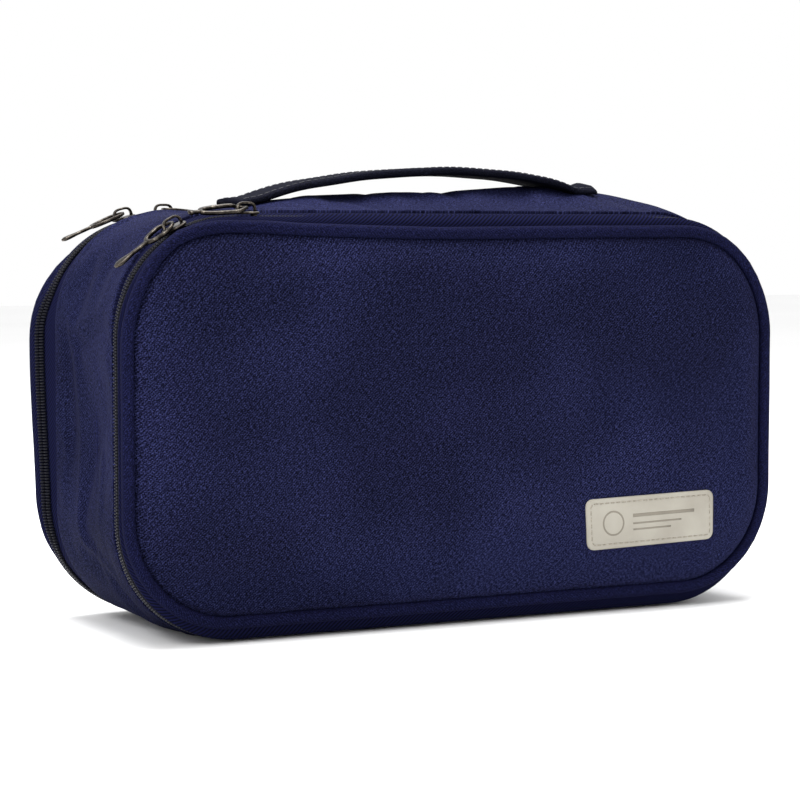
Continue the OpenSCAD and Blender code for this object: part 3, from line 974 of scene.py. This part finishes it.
label_centre = ((label_lo.x + label_hi.x) / 2, (label_lo.z + label_hi.z) / 2)
LABEL_TURN = math.radians(1.4)
LABEL_LONG = 59 * MM
LABEL_HIGH = 20 * MM
LABEL_W = (label_hi.x - label_lo.x - LABEL_HIGH * math.sin(LABEL_TURN)) / 2
LABEL_H = (label_hi.z - label_lo.z - LABEL_LONG * math.sin(LABEL_TURN)) / 2
LABEL_T = 1.1 * MM
LABEL_CORNER = 3 * MM
LABEL_COLUMNS = 40


def label_place(points):
    """Points in the label's own frame, turned and moved to their place on the panel."""
    c, s = math.cos(LABEL_TURN), math.sin(LABEL_TURN)
    x = label_centre[0] + points[:, 0] * c - points[:, 1] * s
    z = label_centre[1] + points[:, 0] * s + points[:, 1] * c
    return np.column_stack([x, z])


pad_tree = BVHTree.FromObject(pads["front"], bpy.context.evaluated_depsgraph_get())
label_grid, label_rows = round_grid(LABEL_W, -LABEL_H, LABEL_H, LABEL_CORNER, LABEL_COLUMNS, 4, 10)
label_xz = label_place(label_grid)
skin = on_panel(label_xz, pad_tree)


def surface_terms(p):
    """Terms of a bent surface in the label's own frame."""
    u, v = p[:, 0] / LABEL_W, p[:, 1] / LABEL_H
    return np.column_stack([np.ones(len(p)), u, v, u * u, v * v, u * v])


label_fit = np.linalg.lstsq(surface_terms(label_grid), skin, rcond=None)[0]
lift = float(np.min(skin - surface_terms(label_grid) @ label_fit))


def label_skin(points, height):
    """Points of the label's frame on its bent surface, at a height over the panel."""
    xz = label_place(points)
    y = surface_terms(points) @ label_fit + 0.35 * lift - height
    return np.column_stack([xz[:, 0], y, xz[:, 1]])


def label_body():
    """The label's leather: a thin closed patch with rolled edges."""
    depth = edge_distance(label_grid, LABEL_W, -LABEL_H, LABEL_H, LABEL_CORNER)
    roll = np.sqrt(np.clip(1 - (1 - np.clip(depth / (0.9 * MM), 0, 1)) ** 2, 0, 1))
    groove = np.exp(-((depth - 1.9 * MM) / (0.45 * MM)) ** 2)
    top = label_skin(label_grid, LABEL_T * (0.45 + 0.55 * roll) - 0.22 * MM * groove)
    under = label_skin(label_grid, -0.2 * MM)
    faces = two_sided(LABEL_COLUMNS, label_rows)
    return mesh_object("label_patch_leather", np.vstack([top, under]), faces, np.vstack([label_grid] * 2))


finish_piece(label_body(), LEATHER, "label", "front_lid", "label_patch")
LABEL_NORMAL = np.array((0.0, -1.0, 0.0))
SEAM_IN = 1.9 * MM
seam, _ = outline(LABEL_W - SEAM_IN, SEAM_IN - LABEL_H, LABEL_H - SEAM_IN, 2 * MM)
seam = label_skin(np.vstack([seam, seam[:1]]), LABEL_T - 0.05 * MM)
label_seam = stitches("label_stitching", seam, LABEL_NORMAL, 1.9 * MM, 2.5 * MM, 0.24 * MM)
finish_piece(label_seam, BEIGE_THREAD, "label", "front_lid")


def mark_strip(start, end, wide):
    """One straight raised bar of the label's plain motif, as a row of points with its half width."""
    path = np.linspace(start, end, 9)
    return label_skin(path * MM, LABEL_T + 0.02 * MM), wide * MM / 2


def mark_ring(centre, radius, wide):
    """A ring of the label's plain motif."""
    angles = np.linspace(0, 2 * math.pi, 33)
    path = np.column_stack([centre[0] + radius * np.cos(angles), centre[1] + radius * np.sin(angles)])
    return label_skin(path * MM, LABEL_T + 0.02 * MM), wide * MM / 2


# A ring and three bars of different lengths, in mm from the middle of the label.
LABEL_MARKS = [
    mark_ring((-17.5, 0.0), 4.6, 0.7),
    mark_strip((-8.5, 2.4), (20.0, 2.4), 1.3),
    mark_strip((-8.5, -0.7), (14.0, -0.7), 0.7),
    mark_strip((-8.5, -3.1), (9.0, -3.1), 0.7),
]
marks = []
for k, (path, half) in enumerate(LABEL_MARKS):
    travel = np.gradient(path, axis=0)
    travel /= np.linalg.norm(travel, axis=1)[:, None]
    across = np.cross(travel, LABEL_NORMAL)
    normals = np.tile(LABEL_NORMAL, (len(path), 1))
    marks.append(tube("mark_%d" % k, path, normals, across, half, 8, flatten=0.16))
finish_piece(joined("label_motif", marks), MARK, "label", "front_lid")


# ---------------------------------------------------------------- the handle
STRAP_T = 3.4 * MM
STRAP_HALF = (grip_hi.y - grip_lo.y) / 2
STRAP_SIDE = STRAP_HALF - 0.2 * MM
STRAP_END = strap_end_hi.x - 6.5 * MM
# The strap's upper line: places along X and their heights, in mm. It is a little higher on the right.
STRAP_LINE = [
    (-79, 160.0), (-64, 165.3), (-52, 168.9), (-26, 172.7), (1, 174.7),
    (14, 175.0), (42, 173.8), (60, 170.8), (70, 167.2), (79, 162.0),
]


def strap_middle(x):
    """Height of the strap's middle line between its sewn ends, smoothed from a few places along it."""
    spread = np.linspace(-6 * MM, 6 * MM, 9)
    places = [p * MM for p, _ in STRAP_LINE]
    heights = [h * MM for _, h in STRAP_LINE]
    return np.mean([np.interp(x + d, places, heights) for d in spread], axis=0) - STRAP_T / 2


def gusset_height(x, y):
    """Height of the gusset's skin at a place on the top."""
    hit, _, _, _ = gusset_tree.ray_cast(Vector((x, y, 0.25)), Vector((0, 0, -1)))
    return hit.z if hit else GUSSET_TOP


def strap_level(x, y):
    """Height of the strap's middle layer at a place, and how far it is sewn down there, from 0 to 1."""
    sewn = float(smooth(66 * MM, 77 * MM, abs(x)))
    on_gusset = gusset_height(x, y) + 0.15 * MM + STRAP_T / 2
    wave = 0.25 * MM * math.sin(abs(x) / (9 * MM)) * (abs(y) / STRAP_SIDE) ** 2
    return float(strap_middle(x)) * (1 - sewn) + on_gusset * sewn + wave, sewn


def sewn_on(obj, material, sign, *nodes):
    """Finishes a piece of the strap, whose shape already bends between its sewn end and the part that is held:
    gives it its material, hides the CAD nodes it stands for and bakes its place.
    """
    finish_piece(obj, material, "trim_fabric", None, *nodes)
    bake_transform(obj)


def strap_half(name, sign):
    """Half of the handle strap, from its sewn end to the middle, with rounded edges."""
    xs = np.linspace(STRAP_END, 0, 61) * sign
    rows = []
    for k in range(28):
        a = 2 * math.pi * k / 28
        y = signed_power(math.cos(a), 0.35) * STRAP_SIDE
        z = signed_power(math.sin(a), 0.55) * STRAP_T / 2
        row = []
        for x in xs:
            level, sewn = strap_level(x, y)
            row.append((x, y, level + z * (1 - 0.25 * sewn)))
        rows.append(row)
    strap = loft(name, rows, cross=True, caps=True, uv_u=np.abs(xs))
    weld(strap, 1e-7)
    return strap


sewn_on(strap_half("handle_strap_left", -1), HANDLE_CLOTH, -1, "handle_cover", "handle_end_left")
sewn_on(strap_half("handle_strap_right", 1), HANDLE_CLOTH, 1, "handle_filler", "handle_end_right")
for sign, word in ((-1, "left"), (1, "right")):
    for k, y in enumerate((-STRAP_HALF + 2.4 * MM, STRAP_HALF - 2.4 * MM)):
        line = []
        for x in np.linspace(STRAP_END - 1.5 * MM, 1 * MM, 80) * sign:
            level, sewn = strap_level(x, y)
            line.append((x, y, level + 0.97 * STRAP_T / 2 * (1 - 0.25 * sewn)))
        seam = stitches("handle_seam_%s_%d" % (word, k), line, (0, 0, 1), 2.2 * MM, 3.0 * MM, 0.26 * MM)
        sewn_on(seam, NAVY_THREAD, sign)


# ---------------------------------------------------------------- sliders and pulls
SLIDER_LONG = 9 * MM
SLIDER_WIDE = 8.2 * MM
TOP_PLATE = 0.9 * MM
PIVOT = 2.8 * MM


def extruded(name, points, z0, z1, bevel):
    """A plate with a given outline in X and Y and rolled edges."""
    points = np.asarray(points, float)
    centre = points.mean(axis=0)
    rows = []
    levels = [(z0, bevel), (z0 + bevel, 0), (z1 - bevel, 0), (z1 - bevel * 0.35, bevel * 0.4), (z1, bevel)]
    for z, inset in levels:
        away = points - centre
        size = np.linalg.norm(away, axis=1)[:, None]
        ring = centre + away * (1 - inset / size)
        rows.append(np.column_stack([ring, np.full(len(ring), z)]))
    return weld(mesh_object(name, np.vstack(rows), ring_faces(len(rows), len(points))), 1e-8)


def swept(name, path, side, wide, thick, sides=12, ring=False, square=0.6):
    """A bar with a rounded oblong section along a path, wide across it and thick along the side vector."""
    path = np.asarray(path, float)
    if ring:
        ahead, behind = np.roll(path, -1, axis=0), np.roll(path, 1, axis=0)
        travel = ahead - behind
    else:
        travel = np.gradient(path, axis=0)
    travel = travel / np.linalg.norm(travel, axis=1)[:, None]
    side = np.asarray(side, float)
    across = np.cross(travel, side)
    across = across / np.linalg.norm(across, axis=1)[:, None]
    wide = np.broadcast_to(wide, (len(path),))
    thick = np.broadcast_to(thick, (len(path),))
    rows = []
    for k in range(sides):
        a = 2 * math.pi * k / sides
        c, s = signed_power(math.cos(a), square), signed_power(math.sin(a), square)
        rows.append(path + across * (c * wide / 2)[:, None] + side * (s * thick / 2)[:, None])
    return weld(loft(name, rows, ring=ring, cross=True, caps=not ring), 1e-8)


def slider_mesh(name):
    """A coil-zip slider: two shaped plates with turned-in rims, a post and an arched bail."""
    outline_points = []
    for k in range(40):
        a = 2 * math.pi * k / 40
        x = signed_power(math.cos(a), 0.55) * SLIDER_LONG / 2
        narrow = 1 - 0.22 * smooth(-0.1, 1.0, -x / (SLIDER_LONG / 2))
        y = signed_power(math.sin(a), 0.55) * SLIDER_WIDE / 2 * narrow
        outline_points.append((x, y))
    top = extruded("top", outline_points, 0.3 * MM, 0.3 * MM + TOP_PLATE, 0.35 * MM)
    for v in top.data.vertices:
        if v.co.z > 0.9 * MM:
            v.co.z += 0.25 * MM * (1 - (v.co.y / (SLIDER_WIDE / 2)) ** 2)
    under = extruded("under", outline_points, -3.2 * MM, -2.3 * MM, 0.3 * MM)
    wedge = np.array([(4.2, -0.3), (4.2, 0.3), (1.8, 0.25), (1.8, -0.25)]) * MM
    post = extruded("post", wedge, -2.4 * MM, 0.4 * MM, 0.05 * MM)
    arch = []
    for k in range(25):
        a = math.pi * k / 24
        x = signed_power(math.cos(a), 0.6) * 3.5 * MM
        arch.append((x, 0.0, 1.2 * MM + abs(math.sin(a)) ** 0.6 * 3.3 * MM))
    taper = 1.5 * MM + 0.5 * MM * np.abs(np.linspace(-1, 1, 25)) ** 2
    bail = swept("bail", arch, (0, 1, 0), 0.95 * MM, taper, 12)
    return joined(name, [top, under, post, bail])


def pull_mesh(name, length, loop_long, roll):
    """A pull that points along -X: a long open loop, a neck and a round knob, rolled towards the lid."""
    half = 3.9 * MM
    start, end = 0.0, -(loop_long - 0.6 * MM)
    points = []
    for k in range(64):
        a = 2 * math.pi * k / 64
        x = (start + end) / 2 + signed_power(math.cos(a), 0.72) * (start - end) / 2
        pinch = 1 - 0.22 * smooth(0.1, 1.0, (x - start) / (end - start))
        y = signed_power(math.sin(a), 0.72) * half * pinch
        points.append((x, y, 0.0))
    points = np.array(points)
    wide = 1.7 * MM - 0.8 * MM * smooth(-4 * MM, -0.5 * MM, points[:, 0])
    thick = 1.5 * MM - 0.4 * MM * smooth(-4 * MM, -0.5 * MM, points[:, 0])
    loop = swept("loop", points, (0, 0, 1), wide, thick, 12, ring=True)
    neck_x = np.linspace(end - 0.2 * MM, -length + 0.25 * MM, 24)
    t = np.linspace(0, 1, 24)
    neck_wide = 1.9 * MM + 1.9 * MM * smooth(0.45, 0.8, t) - 2.6 * MM * smooth(0.86, 1.02, t)
    neck_thick = 1.3 * MM + 0.3 * MM * smooth(0.45, 0.8, t) - 0.8 * MM * smooth(0.9, 1.02, t)
    path = np.column_stack([neck_x, neck_x * 0, neck_x * 0])
    neck = swept("neck", path, (0, 0, 1), neck_wide, neck_thick, 14, square=0.75)
    pull = joined(name, [loop, neck])
    for v in pull.data.vertices:
        turned = roll * smooth(0, -5 * MM, v.co.x)
        c, s = math.cos(turned), math.sin(turned)
        v.co.y, v.co.z = v.co.y * c - v.co.z * s, v.co.y * s + v.co.z * c
    return pull


def hung(obj, origin, turn, droop, flip=False):
    """Moves a part drawn on a zip's straight to its place: dropped, flipped, turned round Y and moved."""
    for v in obj.data.vertices:
        x, y, z = v.co
        c, s = math.cos(droop), math.sin(droop)
        x, z = x * c - z * s, x * s + z * c
        if flip:
            x = -x
        if droop or flip:
            z += PIVOT
        c, s = math.cos(turn), math.sin(turn)
        v.co = (origin[0] + x * c - z * s, origin[1] + y, origin[2] + x * s + z * c)
    if flip:
        obj.data.flip_normals()
    obj.data.update()
    return obj


UPPER_DROOP = math.radians(5)
LOWER_DROOP = math.radians(8)
corner_x = ZIP_W - ZIP_R
corner_z = ZIP_Z1 - ZIP_R
# Each slider's name, side, place on the straight or angle round the corner, pull, droop, loop and roll.
PARKS = [
    ("front_upper", -1, -88 * MM, 0.0, 23 * MM, UPPER_DROOP, 18.5 * MM, 18),
    ("rear_upper", 1, -90 * MM, 0.0, 23 * MM, UPPER_DROOP, 14 * MM, 0),
    ("front_lower", -1, -corner_x, math.radians(28), 27 * MM, LOWER_DROOP, 12 * MM, 12),
    ("rear_lower", 1, -corner_x, math.radians(15), 27 * MM, LOWER_DROOP, 14 * MM, 0),
]
for word, side, x, turn, pull_long, droop, loop_long, roll in PARKS:
    origin = (x - ZIP_R * math.sin(turn), side * ZIP_Y, corner_z + ZIP_R * math.cos(turn))
    metal = hung(slider_mesh(word + "_slider_body"), origin, turn, 0.0)
    finish_piece(metal, METAL, "pull_metal", word + "_slider", word + "_slider")
    metal = pull_mesh(word + "_pull_loop", pull_long, loop_long, math.radians(roll))
    metal = hung(metal, origin, turn, droop, word == "rear_upper")
    finish_piece(metal, METAL, "pull_metal", word + "_pull", word + "_pull")


# ---------------------------------------------------------------- inside
INNER_W = gusset_hi.x - 4.6 * MM
INNER_Z0 = 4.6 * MM
INNER_R = ZIP_R - 5.6 * MM
INNER_COLUMNS = 60


def inner_sheet(name, inset, drop, y, wave, seed, thick, material, slot, node, top=None):
    """A flat sheet across the bag, inset at its edge, with soft waves, cut off at top and lying on over."""
    points, count = round_grid(
        INNER_W - inset, INNER_Z0 + inset, ZIP_Z1 - drop, INNER_R - inset, INNER_COLUMNS, 10, 24
    )
    if top is not None:
        points[:, 1] = np.minimum(points[:, 1], top)
    grid = at_depth(points, y)
    grid[:, 1] += wave * value_noise(grid, 22.0, seed)
    sheet = mesh_object(name, grid, grid_faces(INNER_COLUMNS, count), points)
    weld(sheet, 1e-5)
    thicken(sheet, thick, 0.0)
    finish_piece(sheet, material, slot, "core", node)


def flat_band(name, half, y, z, radius, squeeze, sides, body, *nodes):
    """A straight flattened band of trim fabric, such as a hem or a binding, across the bag."""
    count = 90
    path = np.column_stack([np.linspace(-half, half, count), np.full(count, y), np.full(count, z)])
    band = tube(name, path, np.tile((0, 0, 1.0), (count, 1)), SIDE_Y, radius, sides)
    for v in band.data.vertices:
        v.co.y = y + (v.co.y - y) * squeeze
    finish_piece(band, TRIM, "trim_fabric", body, *nodes)


for side, lid in SIDES:
    inner_sheet(
        "divider_%s_cloth" % lid, 0.0, 3 * MM, side * 1.25 * MM, 0.1 * MM, side * 3.0, 0.5 * MM,
        LINING, "lining", "divider_%s_face" % lid,
    )
    pocket_top = slip_hi.z
    inner_sheet(
        lid + "_slip_pocket_cloth", 3 * MM, 8 * MM, side * 2.35 * MM, 0.25 * MM, side * 5.0, 0.5 * MM,
        LINING, "lining", lid + "_slip_pocket", top=pocket_top,
    )
    flat_band(
        lid + "_slip_pocket_hem", INNER_W - 4 * MM, side * 2.5 * MM, pocket_top, 2.2 * MM, 0.22, 8, "core"
    )
    binding = loft(lid + "_seam_binding_tape", seam_rows(side, [(4.7, -1.5), (4.9, -5.0), (4.7, -9.5)]))
    thicken(binding, 0.6 * MM, 0.0)
    finish_piece(binding, TAPE, "trim_fabric", "core", lid + "_seam_binding")

inner_sheet("divider_board_core", 1 * MM, 4 * MM, 0.0, 0.0, 1.0, 1.4 * MM, BOARD, "board", "divider_board")


NET_PITCH = 2.4 * MM
NET_LEAN = 0.55
NET_CORNER = 34 * MM
NET_THREAD = 0.16 * MM
NET_STEPS = 60


def net_lines(y, w, z0, z1):
    """Threads that lean both ways over a rectangle whose lower corners are round, as rows of points."""
    lines = []
    for k in range(-120, 121):
        for lean in (-1, 1):
            line = []
            for j in range(NET_STEPS):
                z = z0 + (z1 - z0) * j / (NET_STEPS - 1)
                x = k * NET_PITCH + lean * (z - z0) * NET_LEAN
                beyond = max(z0 + NET_CORNER - z, 0.0)
                reach = w - NET_CORNER + math.sqrt(max(NET_CORNER ** 2 - beyond ** 2, 0.0))
                if abs(x) <= reach:
                    line.append((x, y, z))
            if len(line) > 2:
                lines.append(line)
    return lines


def mesh_net(name, side, body, node):
    """The lid's net pocket over its lower part, as one lattice of threads."""
    w, z0, z1 = mesh_hi.x, mesh_lo.z, mesh_hi.z
    verts, faces = [], []
    for line in net_lines(side * (-(mesh_lo.y + mesh_hi.y) / 2), w, z0, z1):
        for a, b in zip(line[:-1], line[1:]):
            base = len(verts)
            for p in (a, b):
                for dx, dy in ((1, 0), (0, 1), (-1, 0), (0, -1)):
                    verts.append((p[0] + dx * NET_THREAD, p[1] + dy * NET_THREAD, p[2]))
            for q in range(4):
                n = (q + 1) % 4
                faces.append((base + q, base + n, base + 4 + n, base + 4 + q))
    net = mesh_object(name, verts, faces, np.array([(v[0], v[2]) for v in verts]))
    finish_piece(net, MESH, "mesh", body, node)


for side, lid in SIDES:
    mesh_net(lid + "_net", side, lid + "_lid", lid + "_mesh_pocket")
    lo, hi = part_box(lid + "_pocket_binding")
    flat_band(
        lid + "_net_binding", hi.x - 1 * MM, (lo.y + hi.y) / 2, (lo.z + hi.z) / 2, 4.4 * MM, 0.12, 12,
        lid + "_lid", lid + "_pocket_binding",
    )


# ---------------------------------------------------------------- stage, lights and camera
def area_light(name, place, target, size, power):
    """A soft light that faces a point."""
    data = bpy.data.lights.new(name, "AREA")
    data.shape = "RECTANGLE"
    data.size, data.size_y = size
    data.energy = power
    lamp = bpy.data.objects.new(name, data)
    lamp.location = place
    lamp.rotation_euler = (Vector(target) - Vector(place)).to_track_quat("-Z", "Y").to_euler()
    bpy.context.scene.collection.objects.link(lamp)


centre = Vector((0, 0, 78.5 * MM))
floor = mesh_object("floor", [(-4, -4, 0), (4, -4, 0), (4, 4, 0), (-4, 4, 0)], [(0, 1, 2, 3)])
n = Nodes("floor")
pale = n.noise(n.place, 2.0)
paint = n.ramp(pale, (0.3, grey(0.92)), (0.7, grey(0.95)))
floor.data.materials.append(n.shade(paint, 0.9, specular=0.1))
floor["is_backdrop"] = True
area_light("top_light", (-0.05, 0.1, 1.1), centre, (1.0, 0.7), 22)
area_light("left_light", (-0.9, -0.5, 0.9), centre, (0.4, 0.4), 6)
world = bpy.data.worlds.new("world")
world.use_nodes = True
world.node_tree.nodes["Background"].inputs["Color"].default_value = (1, 1, 1, 1)
world.node_tree.nodes["Background"].inputs["Strength"].default_value = 1.0
bpy.context.scene.world = world

AZIMUTH = math.radians(-27.75)
ELEVATION = math.radians(4.15)
DISTANCE = 0.975
camera_data = bpy.data.cameras.new("camera")
camera_data.lens = 110.7
camera_data.shift_x = -0.015
camera_data.shift_y = 0.0146
camera_data.clip_start = 0.01
camera = bpy.data.objects.new("camera", camera_data)
back = Vector((
    math.sin(AZIMUTH) * math.cos(ELEVATION),
    -math.cos(AZIMUTH) * math.cos(ELEVATION),
    math.sin(ELEVATION),
))
camera.location = centre + back * DISTANCE
camera.rotation_euler = (-back).to_track_quat("-Z", "Y").to_euler()
bpy.context.scene.collection.objects.link(camera)
bpy.context.scene.camera = camera
bpy.context.scene.view_settings.view_transform = "Standard"

END_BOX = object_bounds()
for label, ends in (("cad", CAD_BOX), ("visual", END_BOX)):
    lo, hi = ([float(v) for v in end] for end in ends)
